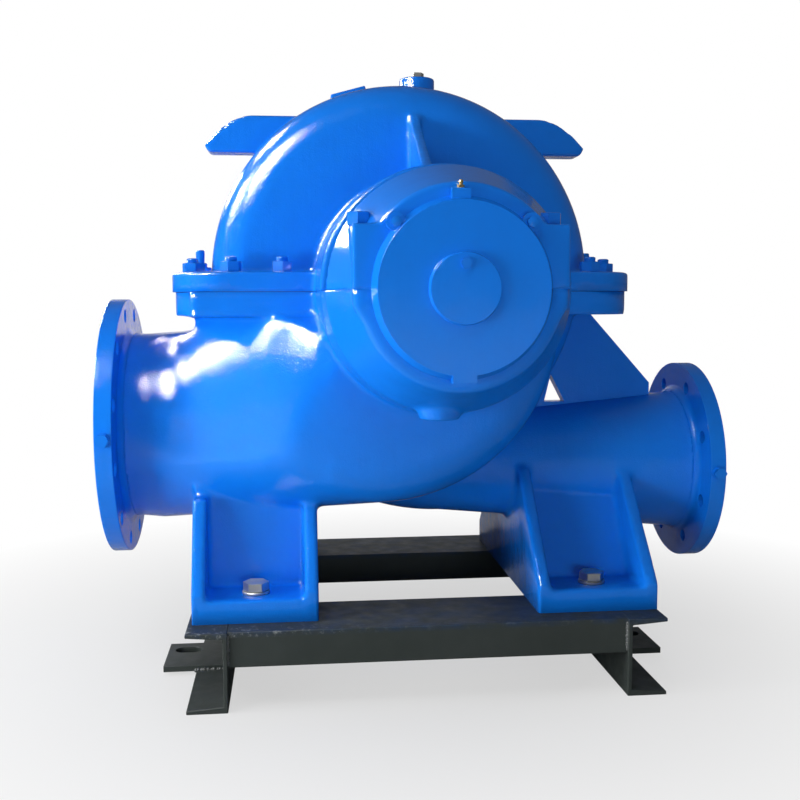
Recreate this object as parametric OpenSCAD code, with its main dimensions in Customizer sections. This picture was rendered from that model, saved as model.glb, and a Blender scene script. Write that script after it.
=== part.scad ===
// Horizontal split case double-suction pump on a welded steel base frame.
// The shaft runs along Y, the suction flange faces -X and the discharge flange faces +X.
// The casings are modelled around the shaft: x = 0, z = 0 on its axis, y = 0 midway between the bearings.

/* [Shaft line] */
// Height of the shaft above the top of the base frame
shaft_height = 520; // [500:1:560]
// Distance from the middle of the pump to the outer end of each bearing housing
bearing_end = 505; // [490:1:540]
// Length of each bearing housing along the shaft
bearing_len = 110; // [90:1:120]
// Radius of the bearing housings
bearing_r = 138; // [134:1:142]
// Radius of the bearing cap at its outer end
cap_r = 141; // [137:1:144]
// Radius of the bearing housing at the gland window
shoulder_r = 179; // [174:1:182]
// Width of the gland window between neck and bearing
gland_window = 50; // [40:1:60]
// Diameter of the shaft at the drive end
shaft_d = 60; // [50:1:70]
// Length of bare shaft past the drive-end cover
shaft_stub = 130; // [110:1:160]

/* [Casing] */
// Radius of the round upper casing
dome_r = 325; // [316:1:334]
// Half of the upper casing's thickness along the shaft
dome_half = 140; // [130:1:150]
// Rounding along the rim of the upper casing
dome_round = 65; // [50:1:75]
// Height of the upper casing's centre above the shaft
dome_rise = 25; // [18:1:34]
// How far the upper casing's centre lies to the suction side
dome_shift = 37; // [28:1:44]
// Radius of the suction chambers beside the volute
chamber_r = 297; // [288:1:304]
// Half of the width across both suction chambers
chamber_half = 285; // [275:1:295]
// Rounding along the rim of the suction chambers
chamber_round = 70; // [60:1:80]
// Thickness of the upper split flange
upper_flange_t = 32; // [28:1:38]
// Thickness of the lower split flange
lower_flange_t = 38; // [32:1:44]
// How far the split flange stands out beyond the casing wall at both ends
flange_lip = 61; // [54:1:66]
// How far the split flange stands out beyond the casing wall at front and back
flange_side_lip = 70; // [60:1:76]
// Radius of the neck where it leaves the casing
neck_base_r = 192; // [188:1:198]
// Radius of the neck at the gland window
neck_tip_r = 186; // [182:1:188]

/* [Suction nozzle] */
// Distance from the shaft to the suction flange face
suction_reach = 540; // [525:1:560]
// Depth of the suction centre below the shaft
suction_drop = 232; // [225:1:240]
// Bore of the suction nozzle
suction_bore_d = 300; // [280:1:304]
// Outside diameter of the suction nozzle
suction_neck_d = 318; // [314:1:326]
// Outside diameter of the suction flange
suction_flange_d = 445; // [440:1:460]
// Thickness of the suction flange
suction_flange_t = 28; // [24:1:34]
// Bolt circle of the suction flange
suction_pcd = 400; // [392:1:405]
// Number of bolt holes in the suction flange
suction_holes = 12; // [8:4:16]

/* [Discharge nozzle] */
// Distance from the shaft to the discharge flange face
discharge_reach = 515; // [500:1:530]
// Depth of the discharge centre below the shaft
discharge_drop = 311; // [305:1:318]
// Bore of the discharge nozzle
discharge_bore_d = 200; // [180:1:205]
// Outside diameter of the discharge nozzle at its flange
discharge_neck_d = 256; // [248:1:264]
// Outside diameter of the discharge flange
discharge_flange_d = 360; // [350:1:370]
// Thickness of the discharge flange
discharge_flange_t = 27; // [24:1:32]
// Bolt circle of the discharge flange
discharge_pcd = 295; // [285:1:305]
// Number of bolt holes in the discharge flange
discharge_holes = 8; // [4:4:12]
// Diameter of the bolt holes in both flanges
flange_hole_d = 22; // [18:1:24]

/* [Feet] */
// Width of each foot
foot_w = 200; // [190:1:210]
// Length of each foot along the shaft
foot_len = 540; // [520:1:560]
// Thickness of the foot's base plate
foot_base_t = 37; // [32:1:44]
// Thickness of the ribs beside each bolt niche
foot_rib_t = 22; // [18:1:26]
// Depth of each bolt niche
niche_depth = 90; // [76:1:100]
// Diameter of the holding-down bolt holes
foot_hole_d = 26; // [22:1:28]

/* [Base frame] */
// Height of the base frame
frame_h = 126; // [120:1:140]
// Clear width between the webs of the cross channels
frame_inner_w = 632; // [622:1:642]
// Length of the cross channels along the shaft
cross_len = 636; // [626:1:650]
// Flange width of the cross channels
cross_flange_w = 64; // [58:1:68]
// Web thickness of the cross channels
cross_web_t = 7; // [5:0.5:9]
// Flange thickness of the cross channels at their edges
cross_flange_t = 6; // [5:0.5:8]
// Width of the two long beams
beam_w = 150; // [140:1:160]
// Depth of the long beams
beam_depth = 56; // [48:1:66]
// Plate thickness of the long beams
beam_t = 8; // [6:0.5:10]
// How far in front of the middle of its cross channel each anchor tab lies
tab_offset = 80; // [70:1:110]
// Length of each anchor tab along the shaft
tab_len = 120; // [100:1:140]
// How far each anchor tab reaches past the cross channel
tab_reach = 55; // [48:1:62]
// Thickness of the anchor tabs
tab_t = 10; // [8:1:14]
// Length of the anchor slots
slot_len = 46; // [40:1:50]
// Width of the anchor slots
slot_w = 28; // [22:1:30]

/* [Hidden] */
$fn = 128;
blend_fn = 40;

casting_blue = "#1668d0";
frame_grey = "#3b4042";
bright_steel = "#b9bab4";
brass = "#b89b58";

// Everything above the split rests on this gasket
gasket_t = 1;
eps = 0.05;
reach = 2000;

// Stations along the shaft
bearing_start = bearing_end - bearing_len;
neck_end = bearing_start - gland_window;

// Bearing covers: a plate with a sloping rim, bolt ears, a grease pad on top and a drip lug below
cover_t = 20;
cover_r = cap_r - 18;
cover_slope = 7;
cover_ear_t = 12;
cover_ear_r = 13;
cover_ear_angle = 44;
cover_bolt_r = cover_r + 3;
grease_pad_w = 26;
grease_pad_r = cover_r + 9;
cover_lug_w = 33;
cover_lug_drop = 3;
cover_boss_t = 8;
cover_boss_r = 49;
cover_boss_slope = 2;
front_reach = bearing_end + cover_t + cover_boss_t;
cover_plug_h = 5;
rear_reach = bearing_end + cover_t + shaft_stub;

// The finished part stands centred over the origin
origin_x = (suction_reach - discharge_reach) / 2;
origin_y = (front_reach + cover_plug_h - rear_reach) / 2;

// Cap lugs, flush with the front of the housing, and the rails that they bolt to
lug_half_w = bearing_r + 9;
lug_w = 39;
lug_h = 86;
rail_h = 24;
rail_drop = 84;

// Shaft, sleeves and glands
journal_r = shaft_d / 2 + 3;
sleeve_r = journal_r + 7;
shaft_fit = 0.3;
gland_r = 74;
gland_ear_r = 24;
gland_ear_x = 84;
gland_t = 18;
trough_wall = 30;
sleeve_depth = 118;
sleeve_end_gap = 8;
sleeve_way_spare = 2;

// Split flange in plan
flange_left = -dome_shift - dome_r - flange_lip;
flange_right = -dome_shift + dome_r + flange_lip;
flange_half = dome_half + flange_side_lip;
flange_corner = 90;
lower_flange_in = 5;

// Volute below the split, which ends in the discharge nozzle
throat_r = 0.86 * discharge_bore_d / 2;
throat_wall = 14;
throat_bore_r = throat_r - throat_wall;
volute_half = throat_r + 8;
volute_flat = 1;
volute_bottom = discharge_drop + throat_r;
volute_centre = volute_bottom - dome_r - dome_shift;
chamber_shift = 91;
chamber_drop = 44;
chamber_swell = 16;
nozzle_blend = 85;
nozzle_blend_x = -suction_reach + nozzle_blend;
suction_flare = 6;
suction_blend_r = suction_neck_d / 2 + suction_flare;
suction_fillet = 16;
discharge_fillet = 12;
joint_clear = 1;
suction_joint_x = volute_centre - volute_bottom - joint_clear;
diffuser_joint = 141;
discharge_joint_x = volute_centre + diffuser_joint;

// Feet, and how far their ribs and cores rise and draw in towards the casing
foot_inset = 250;
foot_left_x = -suction_reach + foot_inset;
foot_right_x = discharge_reach - foot_inset;
foot_lip = 8;
suction_rib_in = 60;
suction_rib_drop = 100;
suction_core_drop = 80;
discharge_rib_out = 24;
discharge_rib_rise = 4;
discharge_core_drop = 30;

// Base frame, measured from the floor
frame_shift = -3.5;
cross_taper = 4.5;
cross_root_t = cross_flange_t + cross_taper;
frame_centre_x = (foot_left_x + foot_right_x) / 2 + frame_shift;
beam_inset = 6;
beam_offset = cross_len / 2 - beam_inset - beam_w / 2;
slot_margin = 12;
slot_back = 24;
slot_x = frame_inner_w / 2 + cross_flange_w + tab_reach - slot_len / 2 - slot_margin;

// Puts casing coordinates on the base frame
module on_frame() {
    translate([origin_x, origin_y, frame_h + shaft_height]) children();
}

// A cylinder or cone along the shaft
module along_shaft(y0, y1, r0, r1) {
    translate([0, y0, 0]) rotate([-90, 0, 0]) cylinder(h = y1 - y0, r1 = r0, r2 = r1);
}

// A cylinder or cone along the pipe direction
module along_pipe(x0, x1, r0, r1) {
    translate([x0, 0, 0]) rotate([0, 90, 0]) cylinder(h = x1 - x0, r1 = r0, r2 = r1);
}

// Half spaces for parts that end at the split or beside it
module above_split() { translate([-reach / 2, -reach / 2, 0]) cube([reach, reach, reach / 2]); }
module below_split() { translate([-reach / 2, -reach / 2, -reach / 2]) cube([reach, reach, reach / 2]); }

// Section of a round casing: flat rim, rounded corners and side walls that swell towards the hub
module drum_section(r, half, corner, swell) {
    intersection() {
        union() {
            translate([0, corner - half]) square([r, 2 * (half - corner)]);
            for (side = [-1, 1]) translate([r - corner, side * (half - corner)]) circle(r = corner);
            polygon([[0, -half - swell], [r - corner, -half], [r - corner, half], [0, half + swell]]);
        }
        translate([0, -reach / 2]) square([reach, reach]);
    }
}

// Round casing with its axis along the shaft
module drum(x, z, r, half, corner, swell = 0) {
    translate([x, 0, z]) rotate([-90, 0, 0]) rotate_extrude() drum_section(r, half, corner, swell);
}

// Rectangle with rounded corners, by its corner points
module rounded_plan(x0, x1, y0, y1, corner) {
    translate([x0 + corner, y0]) square([x1 - x0 - 2 * corner, y1 - y0]);
    translate([x0, y0 + corner]) square([x1 - x0, y1 - y0 - 2 * corner]);
    for (x = [x0 + corner, x1 - corner]) for (y = [y0 + corner, y1 - corner])
        translate([x, y]) circle(r = corner);
}

// Outline of the split flange seen from above, shortened at both ends by an inset
module split_plan(inset = 0) {
    rounded_plan(flange_left + inset, flange_right - inset, -flange_half, flange_half, flange_corner);
}

// Flange with a filleted neck, standing on the z = 0 face and rising along +Z
module pipe_flange(d, t, neck_d, neck_len, fillet) {
    rotate_extrude() difference() {
        union() {
            square([d / 2, t]);
            square([neck_d / 2 + fillet, t + fillet]);
            square([neck_d / 2, neck_len]);
        }
        translate([neck_d / 2 + fillet, t + fillet]) circle(r = fillet);
    }
}

// Ring of bolt holes that straddles the centre lines
module bolt_circle(pcd, count, d, depth) {
    for (i = [0 : count - 1]) rotate([0, 0, (i + 0.5) * 360 / count])
        translate([pcd / 2, 0, -1]) cylinder(d = d, h = depth + 2);
}

module suction_axis() { translate([-suction_reach, 0, -suction_drop]) rotate([0, 90, 0]) children(); }
module discharge_axis() { translate([discharge_reach, 0, -discharge_drop]) rotate([0, -90, 0]) children(); }

// Outline of the suction chambers seen along the pipes: shoulders that draw in under the split flange
shoulder_drop = 165;
shoulder_in = 92;
module chamber_shoulders() {
    half = chamber_half + chamber_swell;
    rise = shoulder_drop - lower_flange_t;
    translate([-half, -reach / 2]) square([2 * half, reach / 2 - shoulder_drop]);
    translate([shoulder_in - half, -shoulder_drop - 1]) square([2 * (half - shoulder_in), shoulder_drop + 1]);
    for (side = [-1, 1]) translate([side * (half - shoulder_in), -shoulder_drop])
        scale([shoulder_in, rise]) circle(r = 1);
}

// Suction chambers on both sides of the volute, drawn out to the suction nozzle
module suction_body() {
    intersection() {
        translate([-reach / 2, 0, 0]) rotate([90, 0, 90]) linear_extrude(reach) intersection() {
            chamber_shoulders();
            translate([-reach / 2, -reach]) square([reach, reach]);
        }
        hull() {
            translate([nozzle_blend_x, 0, -suction_drop])
                along_pipe(0, 1, suction_blend_r, suction_blend_r, $fn = blend_fn);
            drum(-chamber_shift, -chamber_drop, chamber_r, chamber_half, chamber_round, chamber_swell, $fn = blend_fn);
        }
        union() {
            translate([-chamber_shift - chamber_r, -reach / 2, -reach]) cube(reach);
            translate([-reach / 2, -reach / 2, -suction_drop + suction_blend_r - reach]) cube(reach);
        }
    }
}

// Everything on the pump's side of the joint between casing and suction nozzle
module inside_suction_joint() { translate([suction_joint_x, -reach / 2, -reach / 2]) cube(reach); }

// Lower half of the volute: it widens from the split to the discharge nozzle
module volute_below() {
    intersection() {
        drum(volute_centre, 0, volute_bottom, throat_r, throat_r - volute_flat);
        translate([volute_centre - reach, -reach / 2, -reach]) cube([reach, reach, reach]);
    }
    intersection() {
        drum(-dome_shift, dome_rise, dome_r, volute_half, dome_round);
        translate([-dome_shift, -reach / 2, -reach]) cube([reach, reach, reach]);
    }
}

// The discharge diffuser from the volute's throat to its flange, and its bore
module diffuser() {
    discharge_axis() translate([0, 0, discharge_flange_t]) cylinder(
        h = discharge_reach - volute_centre - discharge_flange_t, r1 = discharge_neck_d / 2, r2 = throat_r);
}

module diffuser_bore() {
    discharge_axis() translate([0, 0, -1])
        cylinder(h = discharge_reach - volute_centre + 1, r1 = discharge_bore_d / 2, r2 = throat_bore_r);
}

module outside_discharge_joint() { translate([discharge_joint_x, -reach / 2, -reach / 2]) cube(reach); }

// Outside radius of the diffuser at a distance from the shaft
function diffuser_r(x) = throat_r + (discharge_neck_d / 2 - throat_r)
    * (x - volute_centre) / (discharge_reach - discharge_flange_t - volute_centre);

// Stiffening web above the discharge nozzle, with a cored triangular hole close above the diffuser
web_t = 30;
web_root = 120;
web_start = volute_centre + web_root;
web_setback = 82;
web_end = discharge_reach - web_setback;
web_rise = 145;
web_lip = 30;
web_hole_place = 199;
web_hole_x = volute_centre + web_hole_place;
web_hole_w = 38;
web_hole_h = 50;
web_hole_lean = 12;
web_hole_clear = 4;
module web_hole() {
    right = web_hole_x + web_hole_w;
    foot = -discharge_drop + diffuser_r(right) + web_hole_clear;
    polygon([[web_hole_x, foot], [right, foot], [web_hole_x + web_hole_lean, foot + web_hole_h]]);
}

module discharge_web() {
    color(casting_blue) on_frame() difference() {
        translate([0, web_t / 2, 0]) rotate([90, 0, 0]) linear_extrude(web_t) difference() {
            polygon([[web_start, -lower_flange_t], [flange_right - web_lip, -lower_flange_t],
                     [web_end, -discharge_drop + web_rise], [web_end, -discharge_drop],
                     [web_start, -discharge_drop]]);
            web_hole();
        }
        volute_below();
        suction_body();
        diffuser();
    }
}

// Section of a foot across the pipes: full width at the base plate, narrower where it meets the casing
module foot_section(base_half, top_half, top_z) {
    lip = -shaft_height + foot_base_t + foot_lip;
    polygon([[-base_half, -shaft_height], [base_half, -shaft_height], [base_half, lip],
             [top_half, top_z], [-top_half, top_z], [-base_half, lip]]);
}

// Cast pedestal: base plate, core and two ribs that leave a bolt niche on the front and on the back
module foot(x, rib_half, rib_z, core_half, core_z) {
    translate([x - foot_w / 2, -foot_len / 2, -shaft_height]) cube([foot_w, foot_len, foot_base_t]);
    translate([x - foot_w / 2 + 1, 0, 0]) rotate([90, 0, 90]) linear_extrude(foot_w - 2)
        foot_section(foot_len / 2 - niche_depth, core_half, core_z);
    for (side = [x - foot_w / 2, x + foot_w / 2 - foot_rib_t]) translate([side, 0, 0])
        rotate([90, 0, 90]) linear_extrude(foot_rib_t) foot_section(foot_len / 2, rib_half, rib_z);
}

module foot_bolt_holes() {
    for (x = [foot_left_x, foot_right_x]) for (side = [-1, 1])
        translate([x, side * (foot_len / 2 - niche_depth / 2), -shaft_height - 1])
            cylinder(d = foot_hole_d, h = foot_base_t + 2);
}

// Lower half of the neck between casing and gland window
module lower_neck() {
    intersection() {
        below_split();
        along_shaft(-neck_end, -dome_half, neck_tip_r, neck_base_r);
    }
}

// Rail under a cap lug, drawn in to the round of the bracket
module lug_rail() {
    inner = lug_half_w - lug_w;
    translate([0, -bearing_start, 0]) rotate([90, 0, 0]) linear_extrude(bearing_len)
        polygon([[inner, 0], [lug_half_w, 0], [lug_half_w, -rail_h], [inner, -rail_drop]]);
}

// Bearing bracket of one end: gland trough with its drain boss, and bearing seat
drain_boss_r = 31;
drain_boss_z = shoulder_r + 8;
module bearing_bracket() {
    difference() {
        intersection() {
            below_split();
            union() {
                difference() {
                    union() {
                        along_shaft(-bearing_start - 1, -neck_end, shoulder_r, neck_tip_r);
                        translate([-drain_boss_r / 2, -bearing_start, -drain_boss_z])
                            cylinder(r = drain_boss_r, h = drain_boss_z / 2);
                    }
                    along_shaft(-bearing_start, -neck_end + 1, shoulder_r - trough_wall, neck_tip_r - trough_wall);
                }
                along_shaft(-bearing_end, -bearing_start, bearing_r, shoulder_r);
                for (side = [0, 1]) mirror([side, 0, 0]) lug_rail();
            }
        }
        shaft_way();
    }
}

module front_bearing_bracket() { color(casting_blue) on_frame() bearing_bracket(); }
module rear_bearing_bracket() { color(casting_blue) on_frame() rotate([0, 0, 180]) bearing_bracket(); }

// Half of what a shaft, sleeve or bearing needs, cut from both casings
module shaft_way() {
    along_shaft(-bearing_end - 1, bearing_end + 1, journal_r + shaft_fit, journal_r + shaft_fit);
    for (end = [0, 180]) rotate([0, 0, end])
        along_shaft(-bearing_start - eps, -neck_end + sleeve_depth + sleeve_way_spare,
                    sleeve_r + shaft_fit, sleeve_r + shaft_fit);
}

module lower_flange() {
    translate([0, 0, -lower_flange_t]) linear_extrude(lower_flange_t) split_plan(lower_flange_in);
}

// Lower casing: suction chambers, volute, necks and split flange in one casting, trenched for the shaft
module lower_casing() {
    color(casting_blue) on_frame() difference() {
        union() {
            intersection() {
                suction_body();
                inside_suction_joint();
            }
            volute_below();
            difference() {
                diffuser();
                outside_discharge_joint();
            }
            lower_flange();
            for (end = [0, 180]) rotate([0, 0, end]) lower_neck();
        }
        diffuser_bore();
        cube([2 * (sleeve_r + shaft_fit), reach, 2 * (sleeve_r + shaft_fit)], center = true);
    }
}

// Suction nozzle: drilled flange, neck and the start of the chambers, bored through
module suction_nozzle() {
    color(casting_blue) on_frame() difference() {
        union() {
            suction_axis() pipe_flange(suction_flange_d, suction_flange_t, suction_neck_d,
                                       suction_flange_t + suction_fillet, suction_fillet);
            translate([0, 0, -suction_drop]) along_pipe(
                -suction_reach + suction_flange_t, nozzle_blend_x + 1, suction_neck_d / 2, suction_blend_r);
            difference() {
                suction_body();
                inside_suction_joint();
            }
        }
        lower_flange();
        suction_axis() translate([0, 0, -1]) cylinder(d = suction_bore_d, h = suction_reach);
        suction_axis() bolt_circle(suction_pcd, suction_holes, flange_hole_d, suction_flange_t);
    }
}

// Discharge nozzle: drilled flange and conical diffuser, bored through
module discharge_nozzle() {
    color(casting_blue) on_frame() difference() {
        union() {
            discharge_axis() pipe_flange(discharge_flange_d, discharge_flange_t, discharge_neck_d,
                                         discharge_flange_t + discharge_fillet, discharge_fillet);
            intersection() {
                diffuser();
                outside_discharge_joint();
            }
        }
        diffuser_bore();
        discharge_axis() bolt_circle(discharge_pcd, discharge_holes, flange_hole_d, discharge_flange_t);
    }
}

module suction_foot() {
    color(casting_blue) on_frame() difference() {
        foot(foot_left_x, foot_len / 2 - suction_rib_in, -suction_drop - suction_rib_drop,
             foot_len / 2 - niche_depth, -suction_drop - suction_core_drop);
        suction_body();
        foot_bolt_holes();
    }
}

module discharge_foot() {
    color(casting_blue) on_frame() difference() {
        foot(foot_right_x, throat_r + discharge_rib_out, -discharge_drop + discharge_rib_rise,
             throat_r, -discharge_drop - discharge_core_drop);
        diffuser();
        foot_bolt_holes();
    }
}

// Lifting horn on the rim of the upper casing, a flat hook with a sloping nose
horn_t = 52;
horn_tip = 338;
horn_bottom = 219;
horn_top = 283;
module lifting_horn() {
    translate([-dome_shift, horn_t / 2, dome_rise]) rotate([90, 0, 0]) linear_extrude(horn_t)
        polygon([[0, horn_bottom], [horn_tip - 8, horn_bottom], [horn_tip, horn_bottom + 12],
                 [horn_tip - 20, horn_bottom + 34], [horn_tip - 50, horn_top - 9], [horn_tip - 78, horn_top],
                 [0, horn_top]]);
}

// Gusset between the upper casing's wall and the top of the neck
rib_t = 17;
rib_x = -20;
rib_top = 290;
rib_foot = 300;
rib_root = 40;
rib_nose = 16;
module neck_rib() {
    translate([rib_x - rib_t / 2, 0, 0]) rotate([90, 0, 90]) linear_extrude(rib_t)
        polygon([[-dome_half + rib_root, rib_top], [-dome_half - rib_nose / 4, rib_top],
                 [-dome_half - rib_nose, rib_top - rib_nose], [-rib_foot, neck_tip_r + 1],
                 [-rib_foot, neck_tip_r - rib_root], [-dome_half + rib_root, neck_tip_r - rib_root]]);
}

dome_swell = 14;
vent_boss_r = 31;
vent_boss_h = 28;
vent_boss_top = dome_rise + dome_r + vent_boss_h;
plate_pad_angle = 15.3;
plate_pad_w = 62;
plate_pad_len = 90;
plate_pad_h = 11;

module upper_casing() {
    color(casting_blue) on_frame() translate([0, 0, gasket_t]) difference() {
        union() {
            intersection() {
                above_split();
                union() {
                    drum(-dome_shift, dome_rise, dome_r, dome_half, dome_round, dome_swell);
                    for (end = [0, 180]) rotate([0, 0, end]) along_shaft(-neck_end, -dome_half, neck_tip_r, neck_base_r);
                }
            }
            linear_extrude(upper_flange_t) split_plan();
            lifting_horn();
            translate([-2 * dome_shift, 0, 0]) mirror([1, 0, 0]) lifting_horn();
            for (end = [0, 180]) rotate([0, 0, end]) neck_rib();
            translate([0, 0, dome_rise]) cylinder(r = vent_boss_r, h = vent_boss_top - dome_rise);
            translate([-dome_shift, 0, dome_rise]) rotate([0, -plate_pad_angle, 0])
                translate([-plate_pad_w / 2, -plate_pad_len / 2, 0])
                    cube([plate_pad_w, plate_pad_len, dome_r + plate_pad_h]);
        }
        shaft_way();
    }
}

// Sheet gasket of the split, as wide as the flange lip, parted where the shaft passes
module casing_gasket() {
    color("#2b2d2e") on_frame() linear_extrude(gasket_t) difference() {
        split_plan(lower_flange_in);
        rounded_plan(flange_left + flange_lip, flange_right - flange_lip, -dome_half, dome_half, flange_corner / 2);
        square([2 * (sleeve_r + shaft_fit), reach], center = true);
    }
}

// Upper half of a bearing housing with its two bolt lugs
module bearing_cap() {
    difference() {
        intersection() {
            above_split();
            union() {
                along_shaft(-bearing_end, -bearing_start, cap_r, shoulder_r);
                for (side = [-1, 1]) translate([side * (lug_half_w - lug_w / 2) - lug_w / 2, -bearing_end, 0])
                    cube([lug_w, bearing_len, lug_h]);
            }
        }
        shaft_way();
    }
}

module front_bearing_cap() { color(casting_blue) on_frame() bearing_cap(); }
module rear_bearing_cap() { color(casting_blue) on_frame() rotate([0, 0, 180]) bearing_cap(); }

// Bearing cover: plate with a sloping rim, two bolt ears, the grease pad and the drip lug
module bearing_cover() {
    along_shaft(-bearing_end - cover_t, -bearing_end, cover_r - cover_slope, cover_r);
    for (angle = [cover_ear_angle, 180 - cover_ear_angle])
        translate([cover_bolt_r * cos(angle), 0, cover_bolt_r * sin(angle)])
            along_shaft(-bearing_end - cover_ear_t, -bearing_end, cover_ear_r, cover_ear_r);
    translate([nipple_x - grease_pad_w / 2, -bearing_end - cover_ear_t, grease_pad_r - cover_r])
        cube([grease_pad_w, cover_ear_t, cover_r]);
    translate([-cover_lug_w / 2, -bearing_end - cover_t, -cover_r - cover_lug_drop])
        cube([cover_lug_w, cover_t, cover_r]);
}

module front_bearing_cover() {
    color(casting_blue) on_frame() {
        bearing_cover();
        along_shaft(-front_reach, -bearing_end - cover_t + 1, cover_boss_r - cover_boss_slope, cover_boss_r);
    }
}

module rear_bearing_cover() {
    color(casting_blue) on_frame() rotate([0, 0, 180]) difference() {
        bearing_cover();
        along_shaft(-rear_reach, 0, journal_r + shaft_fit, journal_r + shaft_fit);
    }
}

// Packing gland: a ring with two ears that presses on the packing
module gland() {
    difference() {
        union() {
            along_shaft(-neck_end - gland_t, -neck_end, gland_r, gland_r);
            for (side = [-1, 1]) {
                translate([side * gland_ear_x, 0, 0])
                    along_shaft(-neck_end - gland_t, -neck_end, gland_ear_r, gland_ear_r);
                translate([side > 0 ? 0 : -gland_ear_x, -neck_end - gland_t, -gland_ear_r])
                    cube([gland_ear_x, gland_t, 2 * gland_ear_r]);
            }
        }
        along_shaft(-neck_end - gland_t - 1, -neck_end + 1, sleeve_r + shaft_fit, sleeve_r + shaft_fit);
    }
}

module front_gland() { color(casting_blue) on_frame() gland(); }
module rear_gland() { color(casting_blue) on_frame() rotate([0, 0, 180]) gland(); }

// Sleeve that protects the shaft in the packing
module shaft_sleeve() {
    difference() {
        along_shaft(-bearing_start + sleeve_end_gap, -neck_end + sleeve_depth, sleeve_r, sleeve_r);
        along_shaft(-bearing_start + sleeve_end_gap - 1, -neck_end + sleeve_depth + 1, journal_r, journal_r);
    }
}

module front_shaft_sleeve() { color(bright_steel) on_frame() shaft_sleeve(); }
module rear_shaft_sleeve() { color(bright_steel) on_frame() rotate([0, 0, 180]) shaft_sleeve(); }

// Shaft: thick between the bearings, with a shoulder at the drive-end cover
shaft_chamfer = 3;
module pump_shaft() {
    stub_start = rear_reach - shaft_stub;
    color(bright_steel) on_frame() {
        along_shaft(-bearing_end, stub_start, journal_r, journal_r);
        along_shaft(stub_start, rear_reach - shaft_chamfer, shaft_d / 2, shaft_d / 2);
        along_shaft(rear_reach - shaft_chamfer, rear_reach, shaft_d / 2, shaft_d / 2 - shaft_chamfer);
    }
}

// Hexagon plug with a collar, standing on z = 0
module hex_plug(across_flats, head_h, collar_r, collar_h) {
    cylinder(r = collar_r, h = collar_h);
    translate([0, 0, collar_h]) cylinder(d = across_flats / cos(30), h = head_h, $fn = 6);
}

vent_hex = 22;
vent_hex_h = 9;
vent_collar_r = 12.5;
vent_collar_h = 1.5;
module vent_plug() {
    color(bright_steel) on_frame() translate([0, 0, vent_boss_top + gasket_t])
        hex_plug(vent_hex, vent_hex_h, vent_collar_r, vent_collar_h);
}

// Grease nipple on the pad of a bearing cover
nipple_x = -4;
nipple_hex = 9;
nipple_hex_h = 4;
nipple_stem_d = 5;
nipple_stem_h = 8;
nipple_ball_d = 6.5;
module grease_nipple() {
    translate([nipple_x, -bearing_end - cover_ear_t / 2, grease_pad_r]) {
        cylinder(d = nipple_hex / cos(30), h = nipple_hex_h, $fn = 6);
        cylinder(d = nipple_stem_d, h = nipple_stem_h);
        translate([0, 0, nipple_stem_h]) sphere(d = nipple_ball_d);
    }
}

module front_grease_nipple() { color(brass) on_frame() grease_nipple(); }
module rear_grease_nipple() { color(brass) on_frame() rotate([0, 0, 180]) grease_nipple(); }

// Gauge plugs screwed into the rims of the two flanges, on the front
gauge_hex = 19;
gauge_hex_h = 8;
gauge_collar_r = 12;
gauge_collar_h = 3;
module suction_gauge_plug() {
    color(casting_blue) on_frame()
        translate([-suction_reach + suction_flange_t / 2, -suction_flange_d / 2, -suction_drop])
            rotate([90, 0, 0]) hex_plug(gauge_hex, gauge_hex_h, gauge_collar_r, gauge_collar_h);
}

module discharge_gauge_plug() {
    color(casting_blue) on_frame()
        translate([discharge_reach - discharge_flange_t / 2, -discharge_flange_d / 2, -discharge_drop])
            rotate([90, 0, 0]) hex_plug(gauge_hex, gauge_hex_h, gauge_collar_r, gauge_collar_h);
}

// Small plug on the boss of the closed bearing cover
cover_plug_r = 7.5;
cover_plug_hex = 13;
cover_plug_collar = 2;
cover_plug_z = 33;
module front_cover_plug() {
    color(casting_blue) on_frame() translate([0, -front_reach, cover_plug_z])
        rotate([90, 0, 0]) hex_plug(cover_plug_hex, cover_plug_h - cover_plug_collar, cover_plug_r, cover_plug_collar);
}

// Long beam: a channel laid with its web up
module long_beam(y) {
    translate([origin_x + frame_centre_x - frame_inner_w / 2, origin_y + y, frame_h]) {
        translate([0, -beam_w / 2, -beam_t]) cube([frame_inner_w, beam_w, beam_t]);
        for (edge = [-beam_w / 2, beam_w / 2 - beam_t])
            translate([0, edge, -beam_depth]) cube([frame_inner_w, beam_t, beam_depth]);
    }
}

module front_beam() { color(frame_grey) long_beam(-beam_offset); }
module rear_beam() { color(frame_grey) long_beam(beam_offset); }

// Rolled cross channel with tapered flanges outwards, drawn for the discharge side
module cross_channel() {
    translate([frame_inner_w / 2, cross_len / 2, 0]) rotate([90, 0, 0]) linear_extrude(cross_len)
        polygon([[0, 0], [cross_flange_w, 0], [cross_flange_w, cross_flange_t], [cross_web_t, cross_root_t],
                 [cross_web_t, frame_h - cross_root_t], [cross_flange_w, frame_h - cross_flange_t],
                 [cross_flange_w, frame_h], [0, frame_h]]);
}

// Anchor tab fitted to the bottom flange of a cross channel, with its slot
module anchor_tab() {
    difference() {
        translate([frame_inner_w / 2 + cross_web_t, -tab_offset - tab_len / 2, cross_flange_t])
            cube([cross_flange_w - cross_web_t + tab_reach, tab_len, tab_t]);
        cross_channel();
        translate([slot_x, -tab_offset + slot_back, 0]) {
            for (end = [-1, 1]) translate([end * (slot_len - slot_w) / 2, 0, 0]) cylinder(d = slot_w, h = 3 * tab_t);
            translate([-(slot_len - slot_w) / 2, -slot_w / 2, 0]) cube([slot_len - slot_w, slot_w, 3 * tab_t]);
        }
    }
}

module frame_side(side) {
    translate([origin_x + frame_centre_x, origin_y, 0]) mirror([side < 0 ? 1 : 0, 0, 0]) children();
}

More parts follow.
